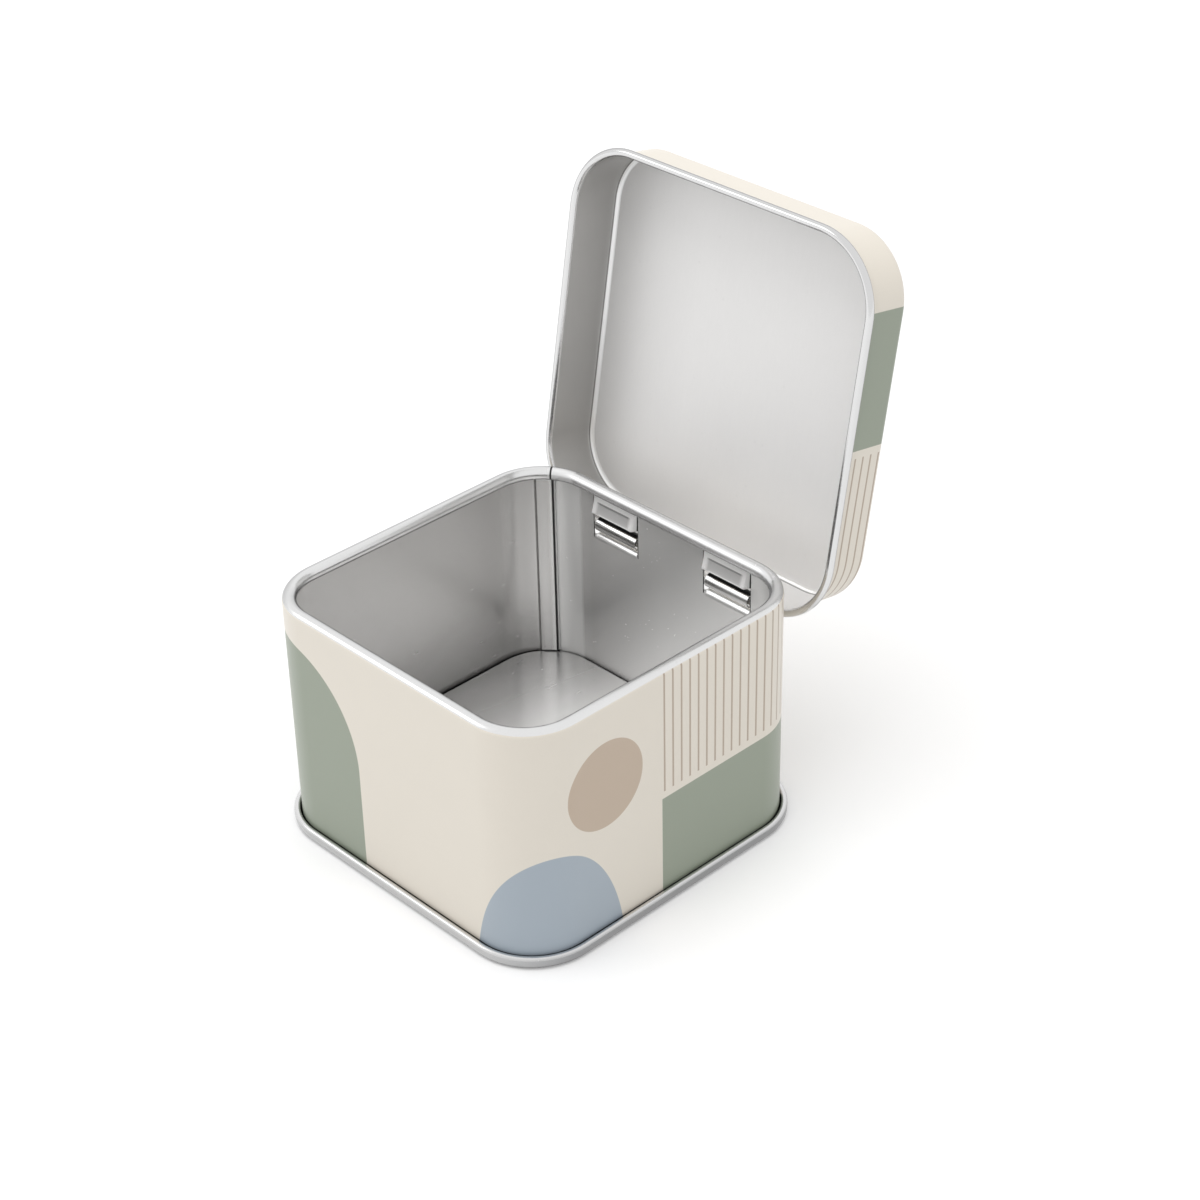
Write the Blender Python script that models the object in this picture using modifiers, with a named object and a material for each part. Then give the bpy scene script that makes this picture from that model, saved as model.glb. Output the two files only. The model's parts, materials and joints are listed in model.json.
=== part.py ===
# A small square tinplate box with a hinged slip-over lid, standing open.
#
# Three pieces of sheet metal, each a thin surface through the middle of the sheet that Solidify
# thickens: the wall with its rolled rim, locked side seam and hinge slots, the bottom end that is
# double-seamed to it, and the drawn lid whose two tongues roll round the straps in the wall.
#
# Frame: +Z up, the lid hinges along the back at +Y, and the origin is the middle of the bottom
# end's underside. Offsets run outward from the wall's outer face, heights up from the table.

import math

import bmesh
import bpy
from mathutils import Vector

# Box and sheet
bodySide = 0.070
bodyHeight = 0.049
cornerRadius = 0.012
sheet = 0.00025
lidGap = 0.00030
openAngle = math.radians(100)

# Rolled rims
bodyRimRadius = 0.0013
bodyRimRoll = math.radians(300)
lidRimRadius = 0.00075
lidRimRoll = math.radians(280)

# Bottom end and the double seam that holds it
seamGap = 0.00025
seamHeight = 0.0025
endRecess = 0.0065
endBendRadius = 0.0007

# Locked side seam in the corner at the back left
lockSeamWidth = 0.0027
lockSeamPitch = 0.00032
lockSeamRampLength = 0.0006
lockSeamRunOut = 0.0002
lockSeamTurn = math.radians(50)
lockSeamRampShares = (0.25, 0.75)

# Lid
lidEdgeRadius = 0.0015
lidPanelInset = 0.0006

# Hinges
hingeCornerGap = 0.0026
hingeOutset = 0.0009
hingeDrop = 0.0104
tongueWidth = 0.0106
tongueRadius = 0.0014
tongueFilletRadius = 0.0006
tongueRootRise = 0.0034
tongueEndAngle = math.radians(0)
notchWidth = 0.0007
strapHeight = 0.0017
strapBow = 0.0007
slotSideGap = 0.0006
slotGap = 0.0003
strapFlank = 0.0007
slotLipRadius = 0.00125
slotLipTurn = math.radians(75)
hoodRimGap = 0.0002
hoodEdgeRise = 0.0034
hoodDepth = 0.0013
hoodFlank = 0.0008
hoodDropShares = ((0.1, 0.06), (0.25, 0.24), (1, 1))
strapFlankShares = (0, 0.3, 0.7, 1)

# Facet counts
cornerSteps = 8
lockSeamCornerSteps = 5
bodyRimSteps = 12
hookSteps = 6
seamSteps = 8
bendSteps = 4
lidRimSteps = 17
filletSteps = 3
lipSteps = 3
foldSteps = 4

# Levels and places that follow from the sizes above
half = bodySide / 2
reach = half - cornerRadius
tableZ = -endRecess
floorTop = endRecess + sheet
layer = seamGap + sheet
lidSkirtOffset = lidGap + sheet / 2
lidPanelHeight = bodyHeight + lidGap + sheet / 2
hingeHeight = bodyHeight - hingeDrop
lidRimOffset = lidSkirtOffset + lidRimRadius - sheet / 2
slotHalf = tongueWidth / 2 + slotSideGap
hingePlace = reach - hingeCornerGap - slotHalf
hingeCentres = (-hingePlace, hingePlace)


def arc(offset, height, radius, start, end, steps):
    # Points of an arc in a section, from one angle to another, angles counted from outward to up.
    turn = (end - start) / steps
    return [
        (offset + radius * math.cos(start + turn * k), height + radius * math.sin(start + turn * k))
        for k in range(steps + 1)
    ]


def evenTurns(start, end, steps):
    return [start + (end - start) * k / steps for k in range(steps + 1)]


def planStations(backCuts, leftCornerTurns):
    # Places round the box, clockwise from the back wall, each a centre and an outward direction.
    # backCuts are extra places along the back wall, and leftCornerTurns those in the last corner.
    quarter = math.pi / 2
    corners = ((1, 1), (1, -1), (-1, -1), (-1, 1))
    stations = [(x, reach, quarter) for x in sorted(backCuts)]
    for side, (signX, signY) in enumerate(corners):
        facing = quarter - quarter * side
        turns = evenTurns(0, quarter, cornerSteps) if side < 3 else leftCornerTurns
        stations += [(signX * reach, signY * reach, facing - turn) for turn in turns]
    return stations


def place(station, offset, height):
    # The point at an offset and a height in the section that stands at a station.
    x, y, facing = station
    distance = cornerRadius + offset
    return Vector((x + distance * math.cos(facing), y + distance * math.sin(facing), tableZ + height))


def sweep(bm, rings, keepFace):
    # Faces between neighbouring rings, closed round the box, where keepFace(row, column) is true.
    count = len(rings[0])
    for row in range(len(rings) - 1):
        for column in range(count):
            if keepFace(row, column):
                after = (column + 1) % count
                bm.faces.new((
                    rings[row][column], rings[row][after],
                    rings[row + 1][after], rings[row + 1][column],
                ))


def metalMaterial(name, colour, metallic, roughness):
    material = bpy.data.materials.new(name)
    material.use_nodes = True
    shader = material.node_tree.nodes["Principled BSDF"]
    shader.inputs["Base Color"].default_value = (*colour, 1)
    shader.inputs["Metallic"].default_value = metallic
    shader.inputs["Roughness"].default_value = roughness
    material.diffuse_color = (*colour, 1)
    return material


def sheetObject(name, bm, collection, material):
    # The surface in bm as a named object, thickened evenly to both sides.
    bmesh.ops.recalc_face_normals(bm, faces=bm.faces)
    mesh = bpy.data.meshes.new(name)
    bm.to_mesh(mesh)
    bm.free()
    mesh.materials.append(material)
    mesh.shade_smooth()
    mesh.set_sharp_from_angle(angle=math.radians(50))
    piece = bpy.data.objects.new(name, mesh)
    collection.objects.link(piece)
    solidify = piece.modifiers.new("Sheet", "SOLIDIFY")
    solidify.thickness = sheet
    solidify.offset = 0
    solidify.use_even_offset = True
    solidify.use_quality_normals = True
    return piece


def lockSeamTurns():
    # Turns in the seam's corner: up to the ramp, the outer fold, the inner fold, and on to the back.
    fold = lockSeamWidth / 2 / cornerRadius
    outerFold = lockSeamTurn - fold
    innerFold = lockSeamTurn + fold
    rampStart = outerFold - (layer + lockSeamRampLength) / cornerRadius
    turns = evenTurns(0, rampStart, lockSeamCornerSteps)
    turns += evenTurns(outerFold, innerFold, 2)
    turns += evenTurns(innerFold, math.pi / 2, lockSeamCornerSteps)[1:]
    return turns, rampStart, outerFold, innerFold


def lockSeamFolds(rampStart, outerFold, innerFold):
    # Places, as turn and depth behind the wall, of the two hooks that hold each other: the sheet
    # from the back folds in under itself, and the sheet from the left ramps in and folds back.
    middle = (outerFold + innerFold) / 2
    bend = lockSeamPitch / cornerRadius
    bendAngles = evenTurns(0, math.pi, foldSteps)[1:]
    fromBack = [
        (outerFold - bend * math.sin(angle), lockSeamPitch * (1 - math.cos(angle)))
        for angle in bendAngles
    ]
    fromBack += [(turn, 2 * lockSeamPitch) for turn in (middle, innerFold)]
    rampEnd = outerFold - (layer + lockSeamRunOut) / cornerRadius
    fromLeft = [
        (rampStart + (rampEnd - rampStart) * share, 3 * lockSeamPitch * share)
        for share in lockSeamRampShares
    ]
    fromLeft += [(turn, 3 * lockSeamPitch) for turn in (rampEnd, middle, innerFold)]
    fromLeft += [
        (innerFold + bend * math.sin(angle), lockSeamPitch * (2 + math.cos(angle)))
        for angle in bendAngles
    ]
    fromLeft += [(turn, lockSeamPitch) for turn in (middle, outerFold)]
    return fromBack, fromLeft


def wallLevels():
    # Rows across the wall from under the rim to over the floor, by name: height, how far out the
    # row is pressed at a hinge, and over what length from the slots' ends. A hood slopes in to the
    # upper slot, the strap between the slots bows out round the hinge line, and the lower slot's
    # edge turns out as a rounded lip.
    hoodTop = bodyHeight - 2 * bodyRimRadius - hoodRimGap
    hoodEdge = hingeHeight + hoodEdgeRise
    levels = {"hoodTop": (hoodTop, 0, hoodFlank)}
    for drop, depth in hoodDropShares:
        levels[f"hood{drop}"] = (hoodTop + (hoodEdge - hoodTop) * drop, -hoodDepth * depth, hoodFlank)
    levels["strapTop"] = (hingeHeight + strapHeight / 2, strapBow, strapFlank)
    levels["strapBottom"] = (hingeHeight - strapHeight / 2, strapBow, strapFlank)
    lipTop = hingeHeight - tongueRadius - sheet - slotGap
    lip = arc(slotLipRadius, lipTop - slotLipRadius, slotLipRadius, math.pi - slotLipTurn, math.pi, lipSteps)
    for k, (push, height) in enumerate(lip):
        levels[f"lip{k}"] = (height, push, strapFlank)
    levels["lockSeamBottom"] = (floorTop + lidGap, 0, strapFlank)
    return levels


def hingeCuts():
    # Columns of one hinge, from its middle, at the bends at the sides of the hood, strap and lip.
    insets = [strapFlank * share for share in strapFlankShares] + [hoodFlank]
    return sorted(side * (slotHalf - inset) for inset in insets for side in (-1, 1))


def pressHinges(rings, levels, offsets):
    # Each row of a hinge is pressed out or in, bending evenly down to nothing at the slots' ends.
    for ring, (height, push, flank) in zip(rings, levels.values()):
        for column, offset in enumerate(offsets * len(hingeCentres)):
            share = min((slotHalf - abs(offset)) / flank, 1)
            ring[column].co.y += push * share * share * (3 - 2 * share)


def buildWall(collection):
    # The wall: rolled rim, hinge hoods, straps and slots, locked side seam, bottom hook.
    mid = -sheet / 2
    rimMid = bodyRimRadius - sheet / 2
    roll = arc(-bodyRimRadius, bodyHeight - bodyRimRadius, rimMid, bodyRimRoll, 0, bodyRimSteps)
    levels = wallLevels()
    hook = arc(mid + layer, 2 * layer + sheet / 2, layer, math.pi, 2 * math.pi, hookSteps)
    hook.append((mid + 2 * layer, seamHeight - layer))
    section = roll + [(mid, height) for height, push, flank in levels.values()] + hook
    rowOf = {name: len(roll) + k for k, name in enumerate(levels)}

    offsets = hingeCuts()
    cuts = [centre + offset for centre in hingeCentres for offset in offsets]
    turns, rampStart, outerFold, innerFold = lockSeamTurns()
    stations = planStations(cuts, turns)
    cornerStart = len(stations) - len(turns)
    rampColumn = cornerStart + turns.index(rampStart)

    bm = bmesh.new()
    rings = [[bm.verts.new(place(s, offset, height)) for s in stations] for offset, height in section]
    pressHinges(rings[len(roll):], levels, offsets)

    slotRows = (rowOf["strapTop"] - 1, rowOf["strapBottom"])
    seamRows = range(rowOf["hoodTop"], rowOf["lockSeamBottom"])

    def keepFace(row, column):
        inHinge = column < len(cuts) and column % len(offsets) != len(offsets) - 1
        slot = row in slotRows and inHinge
        slit = row in seamRows and column == rampColumn
        return not slot and not slit

    sweep(bm, rings, keepFace)

    # The hooks of the side seam run between the rim and the bottom end.
    cornerX, cornerY, facing = stations[cornerStart]
    fromBack, fromLeft = lockSeamFolds(rampStart, outerFold, innerFold)
    rows = range(seamRows.start, seamRows.stop + 1)
    for places, root in ((fromBack, rampColumn + 1), (fromLeft, rampColumn)):
        previous = [rings[row][root] for row in rows]
        for turn, depth in places:
            station = (cornerX, cornerY, facing - turn)
            column = [bm.verts.new(place(station, mid - depth, section[row][1])) for row in rows]
            for k in range(len(rows) - 1):
                bm.faces.new((previous[k], column[k], column[k + 1], previous[k + 1]))
            previous = column
    material = metalMaterial("Printed tinplate wall", (0.74, 0.69, 0.60), 0.0, 0.35)
    return sheetObject("body_wall", bm, collection, material)


def buildEnd(collection):
    # The bottom end: cover hook, seam, recessed wall and flat panel.
    mid = seamGap + sheet / 2
    panelHeight = endRecess + sheet / 2
    wallOffset = mid - 2 * layer
    section = [(mid, 2 * layer)]
    section += arc(mid + layer, seamHeight - sheet / 2 - layer, layer, math.pi, 0, hookSteps)
    section += arc(mid, 2 * layer + sheet / 2, 2 * layer, 0, -math.pi, seamSteps)
    section += arc(
        wallOffset - endBendRadius, panelHeight - endBendRadius, endBendRadius, 0, math.pi / 2, bendSteps
    )
    turns = evenTurns(0, math.pi / 2, cornerSteps)
    stations = planStations([], turns)
    bm = bmesh.new()
    rings = [[bm.verts.new(place(s, offset, height)) for s in stations] for offset, height in section]
    sweep(bm, rings, lambda row, column: True)
    bm.faces.new(rings[-1])
    material = metalMaterial("Tinplate end", (0.62, 0.62, 0.61), 1.0, 0.28)
    return sheetObject("bottom_end", bm, collection, material)


def tongueSection():
    # A tongue's section from the skirt to its tip: a fillet, then the roll round the hinge line.
    skirtSide = lidSkirtOffset - hingeOutset
    inward = tongueFilletRadius - skirtSide
    filletReach = tongueRadius + tongueFilletRadius
    filletRise = math.sqrt(filletReach ** 2 - inward ** 2)
    meet = math.atan2(filletRise, -inward)
    fillet = arc(
        lidSkirtOffset - tongueFilletRadius, hingeHeight + filletRise, tongueFilletRadius,
        0, meet - math.pi, filletSteps,
    )
    rollSteps = lidRimSteps - filletSteps
    roll = arc(
        hingeOutset, hingeHeight, tongueRadius, meet, 2 * math.pi - tongueEndAngle, rollSteps
    )
    return fillet + roll[1:]


def buildLid(collection):
    # The lid: flat panel, rounded edge, skirt, outward rolled rim and the two hinge tongues.
    rimMid = lidRimRadius - sheet / 2
    edgeMid = lidEdgeRadius - sheet / 2
    panelEdge = lidSkirtOffset - edgeMid
    # Open, the rim at the back leans on the wall: its roll's centre is this far over the hinge line.
    rimSide = lidRimOffset - hingeOutset
    rimLift = (lidGap + lidRimRadius - hingeOutset - rimSide * math.cos(openAngle)) / math.sin(openAngle)
    rimCentre = hingeHeight + rimLift
    section = [(panelEdge - lidPanelInset, lidPanelHeight)]
    section += arc(panelEdge, lidPanelHeight - edgeMid, edgeMid, math.pi / 2, 0, bendSteps)
    section.append((lidSkirtOffset, hingeHeight + tongueRootRise))
    rootRow = len(section) - 1
    rim = arc(lidRimOffset, rimCentre, rimMid, math.pi, math.pi + lidRimRoll, lidRimSteps)
    tongue = tongueSection()

    cuts = []
    for centre in hingeCentres:
        for side in (-1, 1):
            cuts += [centre + side * tongueWidth / 2, centre + side * (tongueWidth / 2 + notchWidth)]
    stations = planStations(cuts, evenTurns(0, math.pi / 2, cornerSteps))
    tongueColumns = (1, 2, 5, 6)
    notchColumns = (0, 2, 4, 6)

    bm = bmesh.new()
    rings = [[bm.verts.new(place(s, offset, height)) for s in stations] for offset, height in section]
    for rimPoint, tonguePoint in zip(rim, tongue):
        ring = []
        for column, station in enumerate(stations):
            point = tonguePoint if column in tongueColumns else rimPoint
            ring.append(bm.verts.new(place(station, *point)))
        rings.append(ring)
    sweep(bm, rings, lambda row, column: row < rootRow or column not in notchColumns)
    bm.faces.new(rings[0])

    axis = Vector((0, half + hingeOutset, tableZ + hingeHeight))
    bmesh.ops.translate(bm, verts=bm.verts, vec=-axis)
    material = metalMaterial("Printed tinplate lid", (0.74, 0.69, 0.60), 0.0, 0.35)
    lid = sheetObject("lid", bm, collection, material)
    hinge = bpy.data.objects.new("lid_hinge", None)
    hinge.empty_display_size = tongueWidth
    hinge.location = axis
    hinge.rotation_euler.x = -openAngle
    collection.objects.link(hinge)
    lid.parent = hinge
    return lid


def main():
    for thing in list(bpy.data.objects):
        bpy.data.objects.remove(thing)
    collection = bpy.data.collections.new("Hinged tin box")
    bpy.context.scene.collection.children.link(collection)
    buildWall(collection)
    buildEnd(collection)
    buildLid(collection)


main()
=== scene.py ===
import json
import math

import bmesh
import bpy
from mathutils import Matrix, Vector


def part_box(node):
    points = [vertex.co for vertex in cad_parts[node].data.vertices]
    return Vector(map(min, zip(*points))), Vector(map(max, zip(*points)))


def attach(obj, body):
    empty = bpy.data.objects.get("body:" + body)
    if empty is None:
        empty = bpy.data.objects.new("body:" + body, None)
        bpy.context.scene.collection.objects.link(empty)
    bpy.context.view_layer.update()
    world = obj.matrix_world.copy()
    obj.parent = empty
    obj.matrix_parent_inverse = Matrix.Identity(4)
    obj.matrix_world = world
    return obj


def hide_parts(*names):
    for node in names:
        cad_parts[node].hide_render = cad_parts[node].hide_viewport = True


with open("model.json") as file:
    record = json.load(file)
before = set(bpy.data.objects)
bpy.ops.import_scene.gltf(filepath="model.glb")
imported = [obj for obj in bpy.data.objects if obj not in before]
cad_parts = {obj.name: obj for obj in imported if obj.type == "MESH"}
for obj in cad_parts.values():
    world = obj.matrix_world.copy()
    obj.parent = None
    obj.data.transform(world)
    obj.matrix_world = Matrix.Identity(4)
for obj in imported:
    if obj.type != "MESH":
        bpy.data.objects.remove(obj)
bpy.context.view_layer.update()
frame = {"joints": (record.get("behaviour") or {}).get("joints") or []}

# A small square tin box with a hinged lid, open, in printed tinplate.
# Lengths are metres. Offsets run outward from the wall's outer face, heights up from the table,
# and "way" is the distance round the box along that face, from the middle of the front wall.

print("frame loaded")

# Sizes that all three sheets share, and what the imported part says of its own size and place.
tin = {
    "sheet": 0.00025,
    "shownSheet": 0.00024,  # a hair thinner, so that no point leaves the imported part's box
    "cornerRadius": 0.012,
    "seamGap": 0.00025,
    "lidGap": 0.0003,
    "cornerSteps": 22,
    "sharpAngle": math.radians(40),
}
layer = tin["seamGap"] + tin["sheet"]
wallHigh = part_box("body_wall")[1]
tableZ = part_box("bottom_end")[0].z
rimTop = wallHigh.z - tableZ
half = wallHigh.x - 2 * layer
reach = half - tin["cornerRadius"]
quarter = tin["cornerRadius"] * math.pi / 2
girth = 8 * reach + 4 * quarter
lidJoint = frame["joints"][0]
axis = Vector(lidJoint["pos_m"])
openTurn = math.radians(lidJoint["range_deg"][1])
axisHeight = axis.z - tableZ
axisOffset = axis.y - half


# Shader helpers

def swatch(red, green, blue):
    # A colour as read from a swatch, 0 to 255, in the linear numbers that sockets take.
    linear = []
    for value in (red, green, blue):
        share = value / 255
        linear.append(share / 12.92 if share <= 0.04045 else ((share + 0.055) / 1.055) ** 2.4)
    return (*linear, 1)


def addNode(tree, kind, **settings):
    node = tree.nodes.new("ShaderNode" + kind)
    for name, value in settings.items():
        setattr(node, name, value)
    return node


def feed(tree, socket, value):
    # Links a socket to another node's output, or sets it to a plain value.
    if isinstance(value, bpy.types.NodeSocket):
        tree.links.new(value, socket)
    else:
        socket.default_value = value


def feedAll(tree, node, values):
    # The same for several sockets of a node, by name.
    for name, value in values.items():
        feed(tree, node.inputs[name], value)
    return node.outputs


def calc(tree, operation, *values):
    node = addNode(tree, "Math", operation=operation)
    for socket, value in zip(node.inputs, values):
        feed(tree, socket, value)
    return node.outputs[0]


def chain(tree, operation, first, *others):
    # One operation over any number of values.
    for other in others:
        first = calc(tree, operation, first, other)
    return first


def product(tree, *values):
    return chain(tree, "MULTIPLY", *values)


def total(tree, *values):
    return chain(tree, "ADD", *values)


def less(tree, value, taken):
    return calc(tree, "SUBTRACT", value, taken)


def highest(tree, *values):
    return chain(tree, "MAXIMUM", *values)


def lowest(tree, *values):
    return chain(tree, "MINIMUM", *values)


def centred(tree, noise, amount):
    # Noise that runs from 0 to 1, moved to both sides of zero and scaled.
    return product(tree, less(tree, noise, 0.5), amount)


def fromMiddle(tree, x, y):
    # How far a place is from the middle, in two of its coordinates.
    return calc(tree, "SQRT", total(tree, product(tree, x, x), product(tree, y, y)))


def span(tree, value, low, high, lowOut=0.0, highOut=1.0):
    # The value stretched from one range to another, held at its ends.
    node = addNode(tree, "MapRange")
    for socket, given in zip(node.inputs, (value, low, high, lowOut, highOut)):
        feed(tree, socket, given)
    return node.outputs[0]


def within(tree, value, low, high, fade):
    # A mask that is one between two limits and fades outwards.
    return lowest(tree, span(tree, value, low - fade, low), span(tree, value, high + fade, high))


def blendColour(tree, mask, under, over):
    node = addNode(tree, "Mix", data_type="RGBA")
    feed(tree, node.inputs["Factor"], mask)
    feed(tree, node.inputs[6], under)  # 6 and 7 are the colours A and B, output 2 is their blend
    feed(tree, node.inputs[7], over)
    return node.outputs[2]


def timesGrey(tree, colour, grey):
    # The colour with all its parts times one value.
    toned = addNode(tree, "VectorMath", operation="SCALE")
    feed(tree, toned.inputs[0], colour if isinstance(colour, bpy.types.NodeSocket) else colour[:3])
    feed(tree, toned.inputs["Scale"], grey)
    return toned.outputs[0]


def stretched(tree, vector, scale, turn=(0, 0, 0)):
    sockets = {"Vector": vector, "Rotation": turn, "Scale": scale}
    return feedAll(tree, addNode(tree, "Mapping"), sockets)[0]


def grainNoise(tree, vector, scale, detail=2.0, rough=0.5):
    sockets = {"Vector": vector, "Scale": scale, "Detail": detail, "Roughness": rough}
    return feedAll(tree, addNode(tree, "TexNoise"), sockets)[0]


def newGroup(name, inputs, outputs):
    # A shader node group of plain values, named with their defaults, besides any vector.
    group = bpy.data.node_groups.new(name, "ShaderNodeTree")
    for label, value in inputs.items():
        kind = "NodeSocketVector" if value is None else "NodeSocketFloat"
        socket = group.interface.new_socket(label, in_out="INPUT", socket_type=kind)
        if value is not None:
            socket.default_value = value
    for label in outputs:
        group.interface.new_socket(label, in_out="OUTPUT", socket_type="NodeSocketFloat")
    return group, group.nodes.new("NodeGroupInput").outputs, group.nodes.new("NodeGroupOutput")


def useGroup(tree, group, **values):
    return feedAll(tree, addNode(tree, "Group", node_tree=group), values)


# Effects that several finishes use

rolling = {
    "fineLines": {"scale": 9000, "detail": 2.0, "rough": 0.6}, "fineStretch": (1.0, 1.0, 0.02),
    "longLines": {"scale": 1600, "detail": 3.0, "rough": 0.6}, "longStretch": (1.0, 1.0, 0.015),
    "specks": {"scale": 14000, "detail": 1.0}, "clouds": {"scale": 90, "detail": 4.0, "rough": 0.55},
    "buckle": {"scale": 28, "detail": 1.0}, "speckShare": 0.15, "lineTone": 0.10, "cloudTone": 0.22,
    "lineGloss": 0.05, "cloudGloss": 0.20, "buckleShare": 6.0,
}


def makeRolledGrain():
    # Tinplate's fine lines from the rolling mill, soft cloudy patches and a faint buckle.
    tree, given, result = newGroup(
        "rolled grain", {"Vector": None, "Lines": 0.5, "Clouds": 0.5}, ("Tone", "Rough", "Height")
    )
    where = given["Vector"]
    fineLines = grainNoise(tree, stretched(tree, where, rolling["fineStretch"]), **rolling["fineLines"])
    longLines = grainNoise(tree, stretched(tree, where, rolling["longStretch"]), **rolling["longLines"])
    specks = product(tree, grainNoise(tree, where, **rolling["specks"]), rolling["speckShare"])
    lines = [centred(tree, noise, given["Lines"]) for noise in (fineLines, longLines)]
    grain = total(tree, *lines, specks)
    cloud = centred(tree, grainNoise(tree, where, **rolling["clouds"]), given["Clouds"])
    buckle = product(tree, grainNoise(tree, where, **rolling["buckle"]), rolling["buckleShare"])
    tone, gloss = (
        total(tree, product(tree, grain, rolling["line" + to]), product(tree, cloud, rolling["cloud" + to]))
        for to in ("Tone", "Gloss")
    )
    height = total(tree, grain, buckle)
    feedAll(tree, result, {"Tone": total(tree, tone, 1.0), "Rough": gloss, "Height": height})
    return tree


wear = {
    "hairs": ((0.4, 420), (1.5, 520), (2.4, 610)),  # turn and size of three sets of scratches
    "turnShares": (0.7, 0.4, 1.0), "hairStretch": (1.0, 0.05, 1.0), "hairFineness": 4,
    "hairSpan": (0.70, 0.76), "patchSpan": (0.56, 0.66), "dotScale": 260, "dotSpan": (0.10, 0.05),
}


def makeHandling():
    # Hair scratches in patches and small dull spots from handling, as masks.
    tree, given, result = newGroup(
        "handling marks", {"Vector": None, "Scratches": 0.5, "Spots": 0.5}, ("Scratch", "Spot")
    )
    where = given["Vector"]
    scratches = []
    for turn, size in wear["hairs"]:
        turned = stretched(tree, where, wear["hairStretch"], [turn * share for share in wear["turnShares"]])
        hairs = span(tree, grainNoise(tree, turned, size * wear["hairFineness"], 1.0), *wear["hairSpan"])
        patches = span(tree, grainNoise(tree, where, size / 2, 1.0), *wear["patchSpan"])
        scratches.append(product(tree, hairs, patches))
    dots = feedAll(tree, addNode(tree, "TexVoronoi"), {"Vector": where, "Scale": wear["dotScale"]})
    scratch = product(tree, highest(tree, *scratches), given["Scratches"])
    spot = product(tree, span(tree, dots["Distance"], *wear["dotSpan"]), given["Spots"])
    feedAll(tree, result, {"Scratch": scratch, "Spot": spot})
    return tree


inking = {
    "mottle": {"scale": 5200}, "broad": {"scale": 120}, "peel": {"scale": 1500}, "mottleShare": 0.6,
    "broadShare": 0.4, "tone": 0.12, "gloss": 0.25,
}


def makeInkLayer():
    # Offset ink under lacquer: a faint mottle in the colour and an orange-peel in the gloss.
    tree, given, result = newGroup("ink layer", {"Vector": None, "Mottle": 0.5}, ("Tone", "Rough", "Height"))
    mottle, broad, peel = (
        grainNoise(tree, given["Vector"], **inking[name]) for name in ("mottle", "broad", "peel")
    )
    both = product(tree, mottle, inking["mottleShare"])
    both = total(tree, both, product(tree, broad, inking["broadShare"]))
    uneven = centred(tree, both, given["Mottle"])
    tone = total(tree, product(tree, uneven, inking["tone"]), 1.0)
    feedAll(tree, result, {"Tone": tone, "Rough": product(tree, uneven, inking["gloss"]), "Height": peel})
    return tree


def makeCrevice():
    # Where another surface stands close by, as in folds and slots, from ambient occlusion: a mask by which
    # they are painted dark as shade.
    tree, given, result = newGroup("crevice", {"Reach": 0.001, "Open": 0.6, "Shut": 0.2}, ("Mask",))
    near = feedAll(tree, addNode(tree, "AmbientOcclusion", samples=8), {"Distance": given["Reach"]})
    feedAll(tree, result, {"Mask": span(tree, near["AO"], given["Open"], given["Shut"])})
    return tree


def makeDome():
    # A disc, or with a foot at zero an arch on straight legs, as a mask in way and height.
    sizes = {"Middle": 0.0, "Spring": 0.0, "Half width": 1.0, "Rise": 1.0, "Foot": 0.0, "Edge": 0.01}
    tree, given, result = newGroup("dome shape", {"Way": 0.0, "Height": 0.0, **sizes}, ("Mask",))
    across = calc(tree, "DIVIDE", less(tree, given["Way"], given["Middle"]), given["Half width"])
    over = calc(tree, "DIVIDE", less(tree, given["Height"], given["Spring"]), given["Rise"])
    far = fromMiddle(tree, across, highest(tree, over, given["Foot"]))
    feedAll(tree, result, {"Mask": span(tree, far, total(tree, given["Edge"], 1.0), 1.0)})
    return tree


def makeBlock():
    # A rectangle in way and height, as a mask with a fine soft edge.
    sizes = {"From": 0.0, "To": 1.0, "Bottom": 0.0, "Top": 1.0, "Edge": 0.0001}
    tree, given, result = newGroup("block shape", {"Way": 0.0, "Height": 0.0, **sizes}, ("Mask",))
    inside = []
    for value, low, high in (("Way", "From", "To"), ("Height", "Bottom", "Top")):
        inside += [less(tree, given[value], given[low]), less(tree, given[high], given[value])]
    feedAll(tree, result, {"Mask": span(tree, lowest(tree, *inside), 0.0, given["Edge"])})
    return tree


def makePinstripes():
    # Thin lines at an even pitch, as a mask along one coordinate.
    sizes = {"First": 0.0, "Pitch": 1.0, "Line": 0.1, "Edge": 0.0001}
    tree, given, result = newGroup("pinstripes", {"Across": 0.0, **sizes}, ("Mask",))
    turns = calc(tree, "DIVIDE", less(tree, given["Across"], given["First"]), given["Pitch"])
    middle = less(tree, calc(tree, "FRACT", total(tree, turns, 0.5)), 0.5)
    away = product(tree, calc(tree, "ABSOLUTE", middle), given["Pitch"])
    halfLine = product(tree, given["Line"], 0.5)
    feedAll(tree, result, {"Mask": span(tree, away, total(tree, halfLine, given["Edge"]), halfLine)})
    return tree


rolledGrain = makeRolledGrain()
handling = makeHandling()
inkLayer = makeInkLayer()
crevice = makeCrevice()
dome = makeDome()
block = makeBlock()
pinstripes = makePinstripes()
print("shared effects built")

# The side seam, in the corner at the back left, and where its crease shows inside
sideSeam = {
    "width": 0.0027, "pitch": 0.00032, "rampLength": 0.0006, "runOut": 0.0002, "turn": math.radians(50),
    "cornerSteps": 14, "foldSteps": 8, "rampSteps": 5, "innerSteps": 4,
}
foldTurn = sideSeam["width"] / 2 / tin["cornerRadius"]
seamCorner = girth / 2 - reach - 3 * (quarter + 2 * reach)
crease = seamCorner - (sideSeam["turn"] + foldTurn) * tin["cornerRadius"]

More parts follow.
